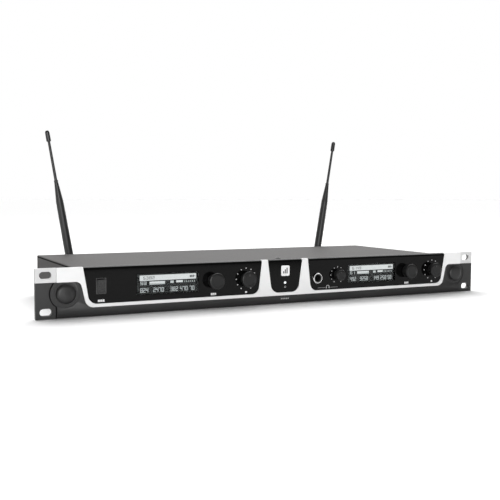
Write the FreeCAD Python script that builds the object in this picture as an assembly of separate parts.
import FreeCAD, Part
import math
import os

os.makedirs("parts", exist_ok=True)

# Two-channel wireless receiver, one rack unit high, 19 inch rack width.
# Millimetres.  +X right seen from the front, +Y to the rear, +Z up.
# Origin: centre of the four rack slots, on the rear (mounting) face of the ears.

# ---- rack panel -------------------------------------------------------------
PANEL_W = 482.6
PANEL_H = 44.0
HALF_W = PANEL_W / 2
HALF_H = PANEL_H / 2
SLOT_X = 232.55            # slot centres: 465.1 mm apart
SLOT_Z = 15.875            # 31.75 mm apart
SLOT_LENGTH = 10.6
SLOT_HEIGHT = 6.2
SEAM_X = 223.5             # joint between ear cap and fascia
BRACKET_T = 2.0            # steel bracket behind the caps
BRACKET_EDGE = 0.4         # the bracket stops this far inside the caps
FLANGE_BACK = 48.0         # rear end of the flange along the case's side
FLANGE_HALF_H = 16.5
FLANGE_NOTCH = 6.0
CAP_FRONT = -4.5           # front face of the ear caps
GAP = 0.1                  # joint between neighbouring mouldings
OVER = 1.0                 # cutting tools run this far past a face

# ---- case -------------------------------------------------------------------
CASE_HALF_W = 203.4
CASE_TOP = 19.8
CASE_BOTTOM = -19.8
CASE_REAR = 166.7
SHEET = 1.2
INNER_HALF_W = CASE_HALF_W - SHEET
TRAY_WALL_TOP = 16.0
TRAY_LIP_TOP = -12.0
TRAY_POST_R = 3.0
COVER_EDGE_R = 1.0
FOOT_R = 6.0
FOOT_X = 180.0
FOOT_Y = (18.0, 150.0)

# ---- front faces ------------------------------------------------------------
FASCIA_BACK = 0.0
BASE_FRONT = -3.0          # front of the fascia's carrier plate
FASCIA_FRONT = -6.3
TRIM_FRONT = -6.6
BAY_FRONT = -6.2
BAND_CURVE_TOP = -15.5     # the lower band curves back from here
BAND_CURVE_R = 8.4
TRIM_EDGE_R = 0.8
BAY_EDGE_R = 2.2
WING_Z = 9.4               # lower edge of the white wings
RAIL_TOP = -10.6
RAIL_BOTTOM = -13.6
FIT = 0.12                 # gap around the bay panels
CARRIER_TOP_GAP = 0.2
POST_X = (-196.0, -12.0, 12.0, 196.0)
POST_Z = 15.0
POST_R = 2.6

# ---- control positions ------------------------------------------------------
CHANNEL_PITCH = 226.1      # left channel to right channel
DISPLAY_X = -122.15
DISPLAY_Z = 4.3
ENCODER_X = -77.0
VOLUME_X = -43.0
CONTROL_Z = 4.5
SWITCH_X = -184.8
SWITCH_Z = 4.8
JACK_X = 37.1
JACK_Z = 1.6
HEADPHONE_X = 61.2
HEADPHONE_Z = 4.0
BADGE_W = 9.3
BADGE_H = 10.2
BADGE_Z = 10.7
LAMP_Z = -1.1
LAMP_R = 1.1

# ---- blanking plugs and their bosses ----------------------------------------
PLUG_X = 215.8
PLUG_Z = -0.5
PLUG_R = 8.2
PLUG_FRONT = -8.6
PLUG_SEAT = FASCIA_FRONT + 1.6
PLUG_STEM_R = 5.5
BOSS_R = 13.4
GROOVE_R_IN = 9.9
GROOVE_R_OUT = 12.3
GROOVE_DEPTH = 0.7

# ---- displays ---------------------------------------------------------------
WINDOW_W = 60.0
WINDOW_H = 19.0
WINDOW_BACK = -4.6
GLASS_W = 58.0
GLASS_H = 17.6
GLASS_FRONT = -4.4
MODULE_W = 64.0
MODULE_H = 23.0
MODULE_FRONT = -2.9
MODULE_GAP = 0.3

# ---- power switch -----------------------------------------------------------
SWITCH_NOSE_W = 9.0
SWITCH_NOSE_H = 13.8
SWITCH_BODY_W = 10.6
SWITCH_BODY_H = 15.6
SWITCH_BODY_BACK = 12.0
ROCKER_W = 7.16
ROCKER_H = 12.0
ROCKER_WELL_W = 7.4
ROCKER_WELL_H = 13.0
ROCKER_PIN_Y = -2.6
ROCKER_PIN_R = 1.2
ROCKER_PIN_GAP = 0.07
ROCKER_TILT = 5.0          # degrees either side of level

# ---- knobs and shafts -------------------------------------------------------
SHAFT_R = 3.0
RUN_GAP = 0.06
KNOB_BACK = -7.2
KNOB_WALL = 1.4
KNOB_FACE_T = 2.4
KNOB_RIM = 0.9
SHAFT_SEAT = 1.6           # the shaft ends this far behind the knob's face
ENCODER_KNOB_R = 7.8
ENCODER_KNOB_BACK_R = 6.5
ENCODER_KNOB_FRONT = -15.6
VOLUME_KNOB_R = 7.9
VOLUME_KNOB_BACK_R = 6.3
VOLUME_KNOB_FRONT = -14.7
SMALL_KNOB_R = 5.7
SMALL_KNOB_BACK_R = 5.2
SMALL_KNOB_FRONT = -14.0
CONTROL_HOLE_R = 3.8       # holes in the bay panels
BUSHING_HOLE_R = 5.2       # holes in the carrier plate
BUSHING_FRONT = 0.5
SHAFT_BACK = 8.0

# ---- boards -----------------------------------------------------------------
BOARD_FRONT = 13.0         # front face of the control board
BOARD_T = 1.6
BOARD_HALF_W = 199.0
BOARD_BOTTOM = -8.0
BOARD_TOP = 18.0
MAIN_BOTTOM = -14.0
MAIN_TOP = MAIN_BOTTOM + BOARD_T
MAIN_HALF_W = 190.0
MAIN_FRONT = 24.0
MAIN_BACK = 146.0

# ---- headphone socket -------------------------------------------------------
JACK_BORE_R = 3.2
JACK_BARREL_R = 4.4
JACK_BODY_HALF = 7.2
JACK_FRONT = -7.4
RING_R = 5.3
RING_FRONT = -7.8

# ---- rear connectors --------------------------------------------------------
ANTENNA_X = 159.5
ANTENNA_Y = 194.0          # hinge of the antenna elbow
ANTENNA_LEAN = 9.5         # degrees outward from upright
ANTENNA_LENGTH = 155.7     # hinge to tip
XLR_X = 104.0
XLR_BORE_R = 9.6
XLR_SHELL_R = 11.5
XLR_PIN_R = 1.2
XLR_PIN_CIRCLE = 4.0
XLR_SCREW = (9.5, 12.0)
JACK_OUT_X = 72.0
JACK_OUT_R = 4.8
INLET_X = 10.0
INLET_W = 9.0
INLET_H = 11.0
INLET_BORE_R = 3.2
SOCKET_R = 6.0


def vec(x, y, z):
    return FreeCAD.Vector(x, y, z)


def box(x0, x1, y0, y1, z0, z1):
    return Part.makeBox(x1 - x0, y1 - y0, z1 - z0, vec(x0, y0, z0))


def cyl_y(x, z, y0, y1, r):
    return Part.makeCylinder(r, y1 - y0, vec(x, y0, z), vec(0, 1, 0))


def cyl_z(x, y, z0, z1, r):
    return Part.makeCylinder(r, z1 - z0, vec(x, y, z0), vec(0, 0, 1))


def cyl_x(y, z, x0, x1, r):
    return Part.makeCylinder(r, x1 - x0, vec(x0, y, z), vec(1, 0, 0))


def tube_y(x, z, y0, y1, r_out, r_in):
    return cyl_y(x, z, y0, y1, r_out).cut(cyl_y(x, z, y0 - OVER, y1 + OVER, r_in))


def block_y(x, z, w, h, y0, y1):
    """Block centred on (x, z) and running from y0 to y1."""
    return box(x - w / 2, x + w / 2, y0, y1, z - h / 2, z + h / 2)


def span(side, near, far):
    """Low and high X of a stretch from near to far on one side of the unit."""
    return sorted((side * near, side * far))


def fuse(shapes):
    whole = shapes[0]
    for extra in shapes[1:]:
        whole = whole.fuse(extra)
    return whole.removeSplitter()


def cut_all(shape, tools):
    for tool in tools:
        shape = shape.cut(tool)
    return shape


def turned(profile, x, z):
    """Solid of revolution about the Y axis through (x, z); profile is (radius, y) pairs."""
    points = [vec(x + r, y, z) for r, y in profile]
    wire = Part.makePolygon(points + [points[0]])
    return Part.Face(wire).revolve(vec(x, 0, z), vec(0, 1, 0), 360)


def upright(profile, x, y):
    """Solid of revolution about the Z axis through (x, y); profile is (radius, z) pairs."""
    points = [vec(x + r, y, z) for r, z in profile]
    wire = Part.makePolygon(points + [points[0]])
    return Part.Face(wire).revolve(vec(x, y, 0), vec(0, 0, 1), 360)


def rounded_outline(corners):
    """Closed outline in the XZ plane; each corner is (x, z, radius)."""
    edges = []
    starts = []
    ends = []
    count = len(corners)
    for i in range(count):
        x, z, r = corners[i]
        here = vec(x, 0, z)
        before = vec(corners[i - 1][0], 0, corners[i - 1][1])
        after = vec(corners[(i + 1) % count][0], 0, corners[(i + 1) % count][1])
        to_before = (before - here).normalize()
        to_after = (after - here).normalize()
        if r <= 0:
            starts.append(here)
            ends.append(here)
            continue
        half = to_before.getAngle(to_after) / 2
        reach = r / math.tan(half)
        first = here + to_before * reach
        last = here + to_after * reach
        bisector = (to_before + to_after).normalize()
        middle = here + bisector * (r / math.sin(half) - r)
        edges.append((i, Part.Arc(first, middle, last).toShape()))
        starts.append(first)
        ends.append(last)
    ordered = []
    arcs = dict(edges)
    for i in range(count):
        if i in arcs:
            ordered.append(arcs[i])
        following = (i + 1) % count
        if (starts[following] - ends[i]).Length > 1e-6:
            ordered.append(Part.makeLine(ends[i], starts[following]))
    return Part.Wire(ordered)


def plate(corners, y0, y1):
    face = Part.Face(rounded_outline(corners))
    face.translate(vec(0, y0, 0))
    return face.extrude(vec(0, y1 - y0, 0))


def mirror_corners(corners):
    return [(-x, z, r) for x, z, r in reversed(corners)]


def section_prism(points, x0, x1):
    """Prism along X; points are (y, z) pairs."""
    ring = [vec(x0, y, z) for y, z in points]
    face = Part.Face(Part.makePolygon(ring + [ring[0]]))
    return face.extrude(vec(x1 - x0, 0, 0))


def rounded_top_prism(front, back, top, radius):
    """Long prism along X whose front upper edge is rounded; shapes the trim and the bay panels."""
    low = -HALF_H - OVER
    steps = 8
    points = [(back, low), (front, low)]
    for i in range(steps + 1):
        angle = math.radians(180 - 90 * i / steps)
        points.append((front + radius + radius * math.cos(angle),
                       top - radius + radius * math.sin(angle)))
    points.append((back, top))
    return section_prism(points, -HALF_W - OVER, HALF_W + OVER)


def rounded_box_plate(x, z, w, h, r, y0, y1):
    return plate([(x - w / 2, z - h / 2, r), (x - w / 2, z + h / 2, r),
                  (x + w / 2, z + h / 2, r), (x + w / 2, z - h / 2, r)], y0, y1)


def slot_plate(x, z, y0, y1):
    nearly_round = SLOT_HEIGHT / 2 - 0.05
    return rounded_box_plate(x, z, SLOT_LENGTH, SLOT_HEIGHT, nearly_round, y0, y1)


def screw_head(radius, height):
    """Pan head standing on the XY plane, with a cross recess."""
    shoulder = height * 0.5
    crown_r = radius * 0.72
    head = upright([(0, 0), (radius, 0), (radius, shoulder), (crown_r, height), (0, height)], 0, 0)
    arm = radius * 0.6
    half = radius * 0.14
    floor = height * 0.4
    cross = box(-arm, arm, -half, half, floor, height + OVER)
    cross = cross.fuse(box(-half, half, -arm, arm, floor, height + OVER))
    return head.cut(cross)


def facing(shape, normal, x, y, z):
    """Copy of a shape built along +Z, turned to face along normal and moved to (x, y, z)."""
    copy = shape.copy()
    copy.Placement = FreeCAD.Placement(vec(x, y, z), FreeCAD.Rotation(vec(0, 0, 1), normal))
    return copy


def save(name, shapes):
    shape = shapes[0]
    if len(shapes) > 1:
        shape = Part.makeCompound(shapes)
    shape.exportStep(os.path.join("parts", name + ".step"))


# ---- outlines of the front --------------------------------------------------
def upper_outline():
    """White trim and black bays together."""
    curve_top_x = 203.0
    curve_low_x = 197.8
    top_r = 5.5
    low_r = 8.0
    half = [(curve_low_x, RAIL_BOTTOM, low_r), (curve_top_x, WING_Z, top_r), (SEAM_X, WING_Z, 0),
            (SEAM_X, HALF_H, 0)]
    return mirror_corners(half) + half


def side_bay_outline(inset):
    """Left bay; the right one is its mirror image."""
    top = HALF_H + OVER
    low = RAIL_TOP + inset
    return [(-200.9 + inset, top, 0), (-195.2 + inset, low, 8.0), (-29.7 - inset, low, 7.5),
            (-25.6 - inset, top, 0)]


def centre_bay_outline(inset):
    top = HALF_H + OVER
    low = RAIL_TOP + inset
    corner_r = 8.5
    half = [(14.8 - inset, low, corner_r), (19.6 - inset, top, 0)]
    return mirror_corners(half) + half


def channel_shifts():
    return (("left", 0.0), ("right", CHANNEL_PITCH))


def control_openings(y0, y1, shaft_hole_r):
    """Openings for the shafts, the headphone barrel and the lamp."""
    clear = 0.05
    tools = []
    for side_name, shift in channel_shifts():
        tools.append(cyl_y(ENCODER_X + shift, CONTROL_Z, y0, y1, shaft_hole_r))
        tools.append(cyl_y(VOLUME_X + shift, CONTROL_Z, y0, y1, shaft_hole_r))
    tools.append(cyl_y(HEADPHONE_X, HEADPHONE_Z, y0, y1, shaft_hole_r))
    tools.append(cyl_y(JACK_X, JACK_Z, y0, y1, JACK_BARREL_R + clear))
    tools.append(cyl_y(0, LAMP_Z, y0, y1, LAMP_R + clear))
    return tools


def lower_band_cutter():
    """Curves the lower band back, tangent to the front face at its top."""
    back = BASE_FRONT - GAP
    corner = box(-HALF_W, HALF_W, FASCIA_FRONT - OVER, back, -HALF_H - OVER, BAND_CURVE_TOP)
    return corner.cut(cyl_x(FASCIA_FRONT + BAND_CURVE_R, BAND_CURVE_TOP, -HALF_W, HALF_W, BAND_CURVE_R))


def build_fascia():
    """Dark moulding: carrier plate, lower band, end fields, plug bosses and board posts."""
    top = HALF_H - CARRIER_TOP_GAP
    recess = plate(upper_outline(), FASCIA_FRONT - OVER, BASE_FRONT)
    carrier = box(-CASE_HALF_W, CASE_HALF_W, BASE_FRONT, FASCIA_BACK, -HALF_H, top)
    face = box(-SEAM_X + GAP, SEAM_X - GAP, FASCIA_FRONT, BASE_FRONT, -HALF_H, HALF_H)
    below_wings = box(-HALF_W, HALF_W, FASCIA_FRONT, -BRACKET_T, -HALF_H, WING_Z - GAP)
    pieces = [carrier, face.cut(recess)]
    for side in (-1, 1):
        x0, x1 = span(side, CASE_HALF_W - OVER, SEAM_X - GAP)
        pieces.append(box(x0, x1, BASE_FRONT, -BRACKET_T, -HALF_H, top))
        boss = cyl_y(side * PLUG_X, PLUG_Z, FASCIA_FRONT, -BRACKET_T, BOSS_R)
        pieces.append(boss.common(below_wings).cut(recess))
    fascia = fuse(pieces).cut(lower_band_cutter())

    tools = control_openings(BASE_FRONT - OVER, OVER, BUSHING_HOLE_R)
    for side_name, shift in channel_shifts():
        tools.append(block_y(DISPLAY_X + shift, DISPLAY_Z, MODULE_W + 2 * MODULE_GAP, MODULE_H + 2 * MODULE_GAP,
                             BASE_FRONT - OVER, OVER))
    tools.append(block_y(SWITCH_X, SWITCH_Z, SWITCH_BODY_W + 2 * GAP, SWITCH_BODY_H + 2 * GAP,
                         BASE_FRONT - OVER, OVER))
    front = FASCIA_FRONT - OVER
    for side in (-1, 1):
        x = side * PLUG_X
        tools.append(cyl_y(x, PLUG_Z, front, OVER, PLUG_STEM_R + GAP))
        tools.append(cyl_y(x, PLUG_Z, front, PLUG_SEAT, PLUG_R + 7 * GAP))
        tools.append(tube_y(x, PLUG_Z, front, FASCIA_FRONT + GROOVE_DEPTH, GROOVE_R_OUT, GROOVE_R_IN))
    fascia = cut_all(fascia, tools)
    posts = [cyl_y(x, POST_Z, FASCIA_BACK, BOARD_FRONT, POST_R) for x in POST_X]
    save("front_fascia", [fuse([fascia] + posts)])


def build_trim():
    """White wings, S-curves, lower rail and the two flared pillars, in one moulding."""
    trim = plate(upper_outline(), TRIM_FRONT, BASE_FRONT)
    bays = (side_bay_outline(0), mirror_corners(side_bay_outline(0)), centre_bay_outline(0))
    for outline in bays:
        trim = trim.cut(plate(outline, TRIM_FRONT - OVER, BASE_FRONT + OVER))
    save("trim_frame", [trim.common(rounded_top_prism(TRIM_FRONT, BASE_FRONT, HALF_H, TRIM_EDGE_R))])


def build_bays():
    """The three glossy panels, each cut for whatever passes through it."""
    top_step = 0.4
    front = BAY_FRONT - OVER
    back = BASE_FRONT + OVER
    shaper = rounded_top_prism(BAY_FRONT, BASE_FRONT, HALF_H - top_step, BAY_EDGE_R)
    openings = control_openings(front, back, CONTROL_HOLE_R)
    window_r = 1.1
    for side_name, shift in channel_shifts():
        openings.append(rounded_box_plate(DISPLAY_X + shift, DISPLAY_Z, WINDOW_W + 2 * GAP, WINDOW_H + 2 * GAP,
                                          window_r, front, back))
    openings.append(block_y(SWITCH_X, SWITCH_Z, SWITCH_NOSE_W + GAP, SWITCH_NOSE_H + GAP, front, back))
    bays = {"bay_panel_left": side_bay_outline(FIT),
            "bay_panel_centre": centre_bay_outline(FIT),
            "bay_panel_right": mirror_corners(side_bay_outline(FIT))}
    for name, outline in bays.items():
        panel = plate(outline, BAY_FRONT, BASE_FRONT).common(shaper)
        save(name, [cut_all(panel, openings)])


def build_front_details():
    badge_t = 0.5
    badge_r = 1.6
    badge = rounded_box_plate(0, BADGE_Z, BADGE_W, BADGE_H, badge_r, BAY_FRONT - badge_t, BAY_FRONT)
    save("badge_plate", [badge])

    lamp_back = -0.5
    lens = Part.makeSphere(LAMP_R, vec(0, BAY_FRONT, LAMP_Z))
    save("status_lamp", [fuse([cyl_y(0, LAMP_Z, BAY_FRONT, lamp_back, LAMP_R), lens])])

    stem_back = -2.3
    crown = [(0, PLUG_FRONT), (5.2, PLUG_FRONT + 0.1), (7.2, PLUG_FRONT + 0.5), (PLUG_R, PLUG_FRONT + 1.6)]
    stem = [(PLUG_R, PLUG_SEAT), (PLUG_STEM_R, PLUG_SEAT), (PLUG_STEM_R, stem_back), (0, stem_back)]
    save("blanking_plugs", [turned(crown + stem, side * PLUG_X, PLUG_Z) for side in (-1, 1)])


def build_ears():
    """Steel L-brackets, each covered by a white cap above and a dark cap below."""
    cap_clearance = 0.2
    upper = []
    lower = []
    for side, name in ((-1, "rack_ear_left"), (1, "rack_ear_right")):
        x0, x1 = span(side, CASE_HALF_W, HALF_W)
        ear = box(x0, x1, -BRACKET_T, 0, -HALF_H + BRACKET_EDGE, HALF_H - BRACKET_EDGE)
        x0, x1 = span(side, CASE_HALF_W, CASE_HALF_W + BRACKET_T)
        flange = box(x0, x1, -BRACKET_T, FLANGE_BACK, -FLANGE_HALF_H, FLANGE_HALF_H)
        notch_y = FLANGE_BACK - FLANGE_NOTCH
        notch_z = FLANGE_HALF_H - FLANGE_NOTCH
        for z0, z1 in ((notch_z, HALF_H), (-HALF_H, -notch_z)):
            flange = flange.cut(box(x0 - OVER, x1 + OVER, notch_y, FLANGE_BACK + OVER, z0, z1))
        x0, x1 = span(side, SEAM_X, HALF_W)
        cap_high = box(x0, x1, CAP_FRONT, -BRACKET_T, WING_Z, HALF_H)
        cap_low = box(x0, x1, CAP_FRONT, -BRACKET_T, -HALF_H, WING_Z - GAP)
        cap_low = cap_low.cut(cyl_y(side * PLUG_X, PLUG_Z, CAP_FRONT - OVER, 0, BOSS_R + cap_clearance))
        high_hole = slot_plate(side * SLOT_X, SLOT_Z, CAP_FRONT - OVER, OVER)
        low_hole = slot_plate(side * SLOT_X, -SLOT_Z, CAP_FRONT - OVER, OVER)
        upper.append(cap_high.cut(high_hole))
        lower.append(cap_low.cut(low_hole))
        save(name, [cut_all(fuse([ear, flange]), [high_hole, low_hole])])
    save("ear_caps_upper", upper)
    save("ear_caps_lower", lower)


# ---- case -------------------------------------------------------------------
def build_tray():
    """Floor, two inner walls, a front lip and the posts of the main board."""
    floor_top = CASE_BOTTOM + SHEET
    pieces = [box(-CASE_HALF_W, CASE_HALF_W, 0, CASE_REAR, CASE_BOTTOM, floor_top),
              box(-INNER_HALF_W, INNER_HALF_W, 0, SHEET, floor_top, TRAY_LIP_TOP)]
    for side in (-1, 1):
        x0, x1 = span(side, INNER_HALF_W - SHEET, INNER_HALF_W)
        pieces.append(box(x0, x1, 0, CASE_REAR - SHEET, floor_top, TRAY_WALL_TOP))
    for x in (-180.0, -60.0, 60.0, 180.0):
        for y in (30.0, 140.0):
            pieces.append(cyl_z(x, y, floor_top, MAIN_BOTTOM, TRAY_POST_R))
    save("base_tray", [fuse(pieces)])


def build_cover():
    """Top sheet with its two folded sides, the long edges rounded."""
    under = CASE_TOP - SHEET
    pieces = [box(-CASE_HALF_W, CASE_HALF_W, 0, CASE_REAR, under, CASE_TOP)]
    for side in (-1, 1):
        x0, x1 = span(side, INNER_HALF_W, CASE_HALF_W)
        pieces.append(box(x0, x1, 0, CASE_REAR, CASE_BOTTOM + SHEET, under))
    cover = fuse(pieces)
    round_z = CASE_TOP - COVER_EDGE_R
    for side in (-1, 1):
        x0, x1 = span(side, CASE_HALF_W - COVER_EDGE_R, CASE_HALF_W)
        corner = box(x0, x1, -OVER, CASE_REAR + OVER, round_z, CASE_TOP)
        axis_x = side * (CASE_HALF_W - COVER_EDGE_R)
        rod = cyl_y(axis_x, round_z, -2 * OVER, CASE_REAR + 2 * OVER, COVER_EDGE_R)
        cover = cover.cut(corner.cut(rod))
    save("top_cover", [cover])


def build_rear_panel():
    clear = 0.1
    front = CASE_REAR - SHEET
    panel = box(-INNER_HALF_W, INNER_HALF_W, front, CASE_REAR, CASE_BOTTOM + SHEET, CASE_TOP - SHEET)
    holes = [block_y(INLET_X, 0, INLET_W + 2 * clear, INLET_H + 2 * clear, front - OVER, CASE_REAR + OVER)]
    for side in (-1, 1):
        for x, r in ((ANTENNA_X, SOCKET_R), (XLR_X, XLR_SHELL_R), (JACK_OUT_X, JACK_OUT_R)):
            holes.append(cyl_y(side * x, 0, front - OVER, CASE_REAR + OVER, r + clear))
    save("rear_panel", [cut_all(panel, holes)])


def build_feet():
    feet = []
    for x in (-FOOT_X, FOOT_X):
        for y in FOOT_Y:
            feet.append(cyl_z(x, y, -HALF_H, CASE_BOTTOM, FOOT_R))
    save("feet", feet)


def build_screws():
    """Pan-head screws: one on the cover, the ear flanges, the rear panel and the balanced outputs."""
    back = vec(0, 1, 0)
    panel_head = screw_head(2.6, 1.2)
    flange_head = screw_head(3.2, 1.6)
    connector_head = screw_head(2.3, 1.2)
    cover_x = 10.6
    cover_y = 27.6
    screws = [facing(screw_head(2.6, 0.9), vec(0, 0, 1), cover_x, cover_y, CASE_TOP)]
    for side in (-1, 1):
        for y in (14.0, 36.0):
            for z in (-9.0, 9.0):
                flange_x = side * (CASE_HALF_W + BRACKET_T)
                screws.append(facing(flange_head, vec(side, 0, 0), flange_x, y, z))
        for x in (40.0, 130.0, 190.0):
            screws.append(facing(panel_head, back, side * x, CASE_REAR, 14.5))
        dx, dz = XLR_SCREW
        for way in (-1, 1):
            screws.append(facing(connector_head, back, side * XLR_X - way * dx, CASE_REAR + 2.0, way * dz))
    save("case_screws", screws)


# ---- boards -----------------------------------------------------------------
def build_boards():
    main = box(-MAIN_HALF_W, MAIN_HALF_W, MAIN_FRONT, MAIN_BACK, MAIN_BOTTOM, MAIN_TOP)
    save("main_circuit_board", [main])

    jack_room = 2 * JACK_BODY_HALF + 0.8
    board_back = BOARD_FRONT + BOARD_T
    board = box(-BOARD_HALF_W, BOARD_HALF_W, BOARD_FRONT, board_back, BOARD_BOTTOM, BOARD_TOP)
    notch = block_y(JACK_X, JACK_Z, jack_room, jack_room, BOARD_FRONT - OVER, board_back + OVER)
    save("control_circuit_board", [board.cut(notch)])

    can_x = 140.0
    can_half = 32.0
    can_front = 88.0
    can_back = 136.0
    can_top = -3.0
    tin = 0.8
    cans = []
    for side in (-1, 1):
        x = side * can_x
        can = box(x - can_half, x + can_half, can_front, can_back, MAIN_TOP, can_top)
        room = box(x - can_half + tin, x + can_half - tin, can_front + tin, can_back - tin, MAIN_TOP, can_top - tin)
        cans.append(can.cut(room))
    save("rf_shield_cans", cans)

    half_w = 16.0
    flat_z = 4.0
    drop_y = 30.0
    thick = 0.8
    ribbon = fuse([box(-half_w, half_w, board_back, drop_y, flat_z, flat_z + thick),
                   box(-half_w, half_w, drop_y - thick, drop_y, MAIN_TOP, flat_z + thick)])
    save("ribbon_cable", [ribbon])


# ---- controls ---------------------------------------------------------------
def build_switch():
    x = SWITCH_X
    z = SWITCH_Z
    nose_front = BAY_FRONT - 0.2
    well_back = 4.0
    nose = block_y(x, z, SWITCH_NOSE_W, SWITCH_NOSE_H, nose_front, BASE_FRONT)
    body = block_y(x, z, SWITCH_BODY_W, SWITCH_BODY_H, BASE_FRONT, SWITCH_BODY_BACK)
    well = block_y(x, z, ROCKER_WELL_W, ROCKER_WELL_H, nose_front - OVER, well_back)
    pin_hole_half = SWITCH_NOSE_W / 2
    pin_hole = cyl_x(ROCKER_PIN_Y, z, x - pin_hole_half, x + pin_hole_half, ROCKER_PIN_R + ROCKER_PIN_GAP)
    save("power_switch_housing", [cut_all(fuse([nose, body]), [well, pin_hole])])

    # a shallow V in side view, drawn level and then tipped about its pin
    half_h = ROCKER_H / 2
    tip_front = -6.9
    valley_front = -6.3
    shoulder_y = -3.6
    tail_half = 2.4
    tail_back = 0.0
    side_view = [(tip_front, z + half_h), (valley_front, z), (tip_front, z - half_h), (shoulder_y, z - half_h),
                 (tail_back, z - tail_half), (tail_back, z + tail_half), (shoulder_y, z + half_h)]
    rocker = section_prism(side_view, x - ROCKER_W / 2, x + ROCKER_W / 2)
    pin_half = pin_hole_half - 0.15
    rocker = fuse([rocker, cyl_x(ROCKER_PIN_Y, z, x - pin_half, x + pin_half, ROCKER_PIN_R)])
    rocker.rotate(vec(x, ROCKER_PIN_Y, z), vec(1, 0, 0), ROCKER_TILT)
    save("power_switch_rocker", [rocker])


def build_display(shift, side_name):
    x = DISPLAY_X + shift
    z = DISPLAY_Z
    window_front = BAY_FRONT + 0.05
    window_r = 1.0
    window = rounded_box_plate(x, z, WINDOW_W, WINDOW_H, window_r, window_front, WINDOW_BACK)
    save("display_window_" + side_name, [window])
    glass = block_y(x, z, GLASS_W, GLASS_H, GLASS_FRONT, MODULE_FRONT)
    frame = block_y(x, z, MODULE_W, MODULE_H, MODULE_FRONT, BOARD_FRONT)
    save("display_module_" + side_name, [fuse([glass, frame])])


def knob_body(x, z, radius, back_radius, front):
    """Cap knob, widest at its front rim and hollow behind, with a hub for the shaft."""
    inner_r = back_radius - KNOB_WALL
    face_back = front + KNOB_FACE_T
    rim_y = front + KNOB_RIM
    hub_wall = 1.2
    shell = turned([(0, front), (radius - KNOB_RIM, front), (radius, rim_y), (back_radius, KNOB_BACK),
                    (inner_r, KNOB_BACK), (inner_r, face_back), (0, face_back)], x, z)
    hub = cyl_y(x, z, rim_y + GAP, KNOB_BACK, SHAFT_R + hub_wall)
    bore = cyl_y(x, z, front + SHAFT_SEAT, KNOB_BACK + OVER, SHAFT_R)
    return fuse([shell, hub]).cut(bore)


def build_encoder(shift, side_name):
    """Knob and shaft turn in a sleeve; shaft and sleeve are pressed in together."""
    x = ENCODER_X + shift
    z = CONTROL_Z
    sleeve_r = 4.0
    sleeve_back = 7.0
    collar_r = 3.6
    collar_back = 7.8
    well_back = 9.2
    can_front = 3.5
    can_side = 12.4
    bushing_r = 5.0
    knob = knob_body(x, z, ENCODER_KNOB_R, ENCODER_KNOB_BACK_R, ENCODER_KNOB_FRONT)
    save("encoder_knob_" + side_name, [knob])
    shaft = cyl_y(x, z, ENCODER_KNOB_FRONT + SHAFT_SEAT, collar_back, SHAFT_R)
    collar = cyl_y(x, z, sleeve_back + GAP, collar_back, collar_r)
    save("encoder_shaft_" + side_name, [fuse([shaft, collar])])
    save("encoder_sleeve_" + side_name, [tube_y(x, z, OVER, sleeve_back, sleeve_r, SHAFT_R + RUN_GAP)])
    body = fuse([block_y(x, z, can_side, can_side, can_front, BOARD_FRONT),
                 cyl_y(x, z, BUSHING_FRONT, can_front, bushing_r)])
    body = body.cut(cyl_y(x, z, 0, well_back, sleeve_r + RUN_GAP))
    save("encoder_body_" + side_name, [body])


def build_pot(x, z, radius, back_radius, front, name):
    can_front = 4.0
    can_w = 11.2
    can_h = 12.0
    bushing_r = 4.4
    well_back = SHAFT_BACK + 0.6
    save(name + "_knob", [knob_body(x, z, radius, back_radius, front)])
    save(name + "_shaft", [cyl_y(x, z, front + SHAFT_SEAT, SHAFT_BACK, SHAFT_R)])
    body = fuse([block_y(x, z, can_w, can_h, can_front, BOARD_FRONT),
                 cyl_y(x, z, BUSHING_FRONT, can_front, bushing_r)])
    save(name + "_body", [body.cut(cyl_y(x, z, 0, well_back, SHAFT_R + RUN_GAP))])


def build_headphone_socket():
    x = JACK_X
    z = JACK_Z
    body_front = 0.2
    body_back = 27.0
    bore_back = 24.0
    side = 2 * JACK_BODY_HALF
    body = fuse([block_y(x, z, side, side, body_front, body_back),
                 cyl_y(x, z, JACK_FRONT, body_front, JACK_BARREL_R)])
    save("headphone_socket", [body.cut(cyl_y(x, z, JACK_FRONT - OVER, bore_back, JACK_BORE_R))])
    slope = 0.5
    ring = turned([(JACK_BARREL_R, BAY_FRONT), (RING_R, BAY_FRONT), (RING_R, RING_FRONT + slope),
                   (RING_R - slope, RING_FRONT), (JACK_BARREL_R, RING_FRONT)], x, z)
    save("headphone_ring_nut", [ring])


# ---- rear connectors --------------------------------------------------------
def build_antenna_sockets():
    """Bayonet sockets, clamped to the rear panel between a flange and a nut."""
    rear = CASE_REAR
    nut_t = 2.2
    nut_r = 8.2
    barrel_r = 4.8
    barrel_back = rear + 13.0
    lug_y = rear + 7.0
    lug_r = 0.95
    lug_in = 4.2
    lug_out = 5.7
    sockets = []
    for side in (-1, 1):
        x = side * ANTENNA_X
        sockets.append(fuse([
            cyl_y(x, 0, rear - 9.0, rear, SOCKET_R),
            cyl_y(x, 0, rear - SHEET - 3.0, rear - SHEET, SOCKET_R + 2.0),
            cyl_y(x, 0, rear, rear + nut_t, nut_r),
            tube_y(x, 0, rear + nut_t, barrel_back, barrel_r, barrel_r - SHEET),
            tube_y(x, 0, rear + nut_t - 0.2, barrel_back - 2.0, 1.1, 0.6),
            cyl_z(x, lug_y, -lug_out, -lug_in, lug_r),
            cyl_z(x, lug_y, lug_in, lug_out, lug_r)]))
    save("antenna_sockets", sockets)


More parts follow.
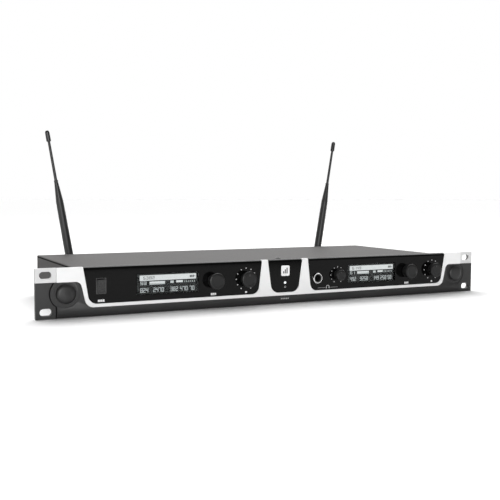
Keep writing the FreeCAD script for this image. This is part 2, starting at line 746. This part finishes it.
def build_balanced_outputs():
    """Three-pin panel sockets; the pins stand well inside the mouth."""
    rear = CASE_REAR
    flange_w = 26.0
    flange_h = 31.0
    flange_r = 3.0
    flange_back = rear + 2.0
    well_front = rear - 12.0
    pin_back = rear - 3.5
    outputs = []
    for side in (-1, 1):
        x = side * XLR_X
        flange = rounded_box_plate(x, 0, flange_w, flange_h, flange_r, rear, flange_back)
        shell = cyl_y(x, 0, well_front - 4.0, rear, XLR_SHELL_R)
        pieces = [fuse([flange, shell]).cut(cyl_y(x, 0, well_front, flange_back + OVER, XLR_BORE_R))]
        for degrees in (90, 210, 330):
            pin_x = x + XLR_PIN_CIRCLE * math.cos(math.radians(degrees))
            pin_z = XLR_PIN_CIRCLE * math.sin(math.radians(degrees))
            pieces.append(cyl_y(pin_x, pin_z, well_front - OVER, pin_back, XLR_PIN_R))
        outputs.append(fuse(pieces))
    save("balanced_outputs", outputs)


def build_jack_outputs():
    rear = CASE_REAR
    body_front = rear - 28.0
    body_side = 16.0
    mouth_back = rear + 3.5
    nut_r = 7.0
    nut_back = rear + 2.4
    bore_front = rear - 25.0
    jacks = []
    for side in (-1, 1):
        x = side * JACK_OUT_X
        body = fuse([block_y(x, 0, body_side, body_side, body_front, rear - SHEET),
                     cyl_y(x, 0, rear - SHEET, mouth_back, JACK_OUT_R),
                     cyl_y(x, 0, rear, nut_back, nut_r)])
        jacks.append(body.cut(cyl_y(x, 0, bore_front, mouth_back + OVER, JACK_BORE_R)))
    save("jack_outputs", jacks)


def build_power_inlet():
    rear = CASE_REAR
    face = rear + 0.6
    well_front = rear - 9.5
    pin_r = 1.0
    pin_back = rear - 4.5
    inlet = block_y(INLET_X, 0, INLET_W, INLET_H, rear - 12.0, face)
    inlet = inlet.cut(cyl_y(INLET_X, 0, well_front, face + OVER, INLET_BORE_R))
    pin = cyl_y(INLET_X, 0, well_front - OVER, pin_back, pin_r)
    save("power_inlet", [fuse([inlet, pin])])


# ---- antennas ---------------------------------------------------------------
def antenna_coupling(x):
    """Bayonet collar that turns over the socket's barrel."""
    front = CASE_REAR + 2.6
    back = CASE_REAR + 14.4
    lip_front = CASE_REAR + 13.4
    outer_r = 7.4
    inner_r = 6.3
    lip_r = 5.2
    return turned([(inner_r, front), (outer_r, front), (outer_r, back - 0.8), (outer_r - 0.5, back),
                   (lip_r, back), (lip_r, lip_front), (inner_r, lip_front)], x, 0)


def antenna_elbow(x):
    """Swivelling fork: a spigot in the coupling, two cheeks and the hinge pin."""
    y = ANTENNA_Y
    spigot_front = CASE_REAR + 13.6
    collar_front = 185.4
    collar_back = 189.0
    cheek_front = 187.6
    half_w = 5.0
    cheek_r = 4.2
    half_slot = 2.35
    pin_r = 1.4
    spigot = fuse([cyl_y(x, 0, spigot_front, collar_front + OVER, 4.9),
                   cyl_y(x, 0, collar_front, collar_back, 5.6)])
    cheeks = box(x - half_w, x + half_w, cheek_front, y, -cheek_r, cheek_r)
    cheeks = cheeks.fuse(cyl_x(y, 0, x - half_w, x + half_w, cheek_r))
    slot = box(x - half_slot, x + half_slot, collar_back, y + 6.0, -6.0, 6.0)
    pin = cyl_x(y, 0, x - half_w + 0.6, x + half_w - 0.6, pin_r)
    return fuse([spigot, cheeks.cut(slot), pin])


def antenna_rod(x):
    """Sleeve, whip and tip, drawn upright over the hinge."""
    y = ANTENNA_Y
    whip_r = 1.2
    whip_foot = 60.0
    sleeve_top = 101.0
    tip_foot = 143.4
    socket_top = 146.0
    half_tongue = 2.0
    tongue_r = 4.0
    tongue_top = 8.0
    pin_hole_r = 1.47
    tongue = fuse([cyl_x(y, 0, x - half_tongue, x + half_tongue, tongue_r),
                   box(x - half_tongue, x + half_tongue, y - 3.4, y + 3.4, 0, tongue_top)])
    tongue = tongue.cut(cyl_x(y, 0, x - half_tongue - OVER, x + half_tongue + OVER, pin_hole_r))
    shank = upright([(0, 5.6), (3.6, 5.6), (4.5, 7.0), (4.5, 30.0), (4.0, 77.0), (1.9, sleeve_top),
                     (0, sleeve_top)], x, y)
    sleeve = fuse([tongue, shank]).cut(cyl_z(x, y, whip_foot, sleeve_top + OVER, whip_r))
    jacket = upright([(0, sleeve_top), (1.6, sleeve_top), (1.4, tip_foot), (0, tip_foot)], x, y)
    whip = fuse([cyl_z(x, y, whip_foot, socket_top, whip_r), jacket])
    tip = upright([(0, tip_foot), (2.2, tip_foot), (2.5, tip_foot + 1.0), (2.4, ANTENNA_LENGTH - 2.3),
                   (1.7, ANTENNA_LENGTH - 0.6), (0, ANTENNA_LENGTH)], x, y)
    tip = tip.cut(cyl_z(x, y, tip_foot - OVER, socket_top, whip_r))
    return sleeve, whip, tip


def build_antenna(side, side_name):
    x = side * ANTENNA_X
    pivot = vec(x, ANTENNA_Y, 0)
    sleeve, whip, tip = antenna_rod(x)
    pieces = {"antenna_coupling_": antenna_coupling(x), "antenna_elbow_": antenna_elbow(x),
              "antenna_sleeve_": sleeve, "antenna_whip_": whip, "antenna_tip_": tip}
    for name, shape in pieces.items():
        shape.rotate(pivot, vec(0, 1, 0), side * ANTENNA_LEAN)
        save(name + side_name, [shape])


build_fascia()
build_trim()
build_bays()
build_front_details()
build_ears()
build_tray()
build_cover()
build_rear_panel()
build_feet()
build_screws()
build_boards()
build_switch()
for side_name, shift in channel_shifts():
    build_display(shift, side_name)
    build_encoder(shift, side_name)
    build_pot(VOLUME_X + shift, CONTROL_Z, VOLUME_KNOB_R, VOLUME_KNOB_BACK_R, VOLUME_KNOB_FRONT,
              "volume_" + side_name)
build_pot(HEADPHONE_X, HEADPHONE_Z, SMALL_KNOB_R, SMALL_KNOB_BACK_R, SMALL_KNOB_FRONT, "headphone_volume")
build_headphone_socket()
build_antenna_sockets()
build_balanced_outputs()
build_jack_outputs()
build_power_inlet()
build_antenna(-1, "left")
build_antenna(1, "right")
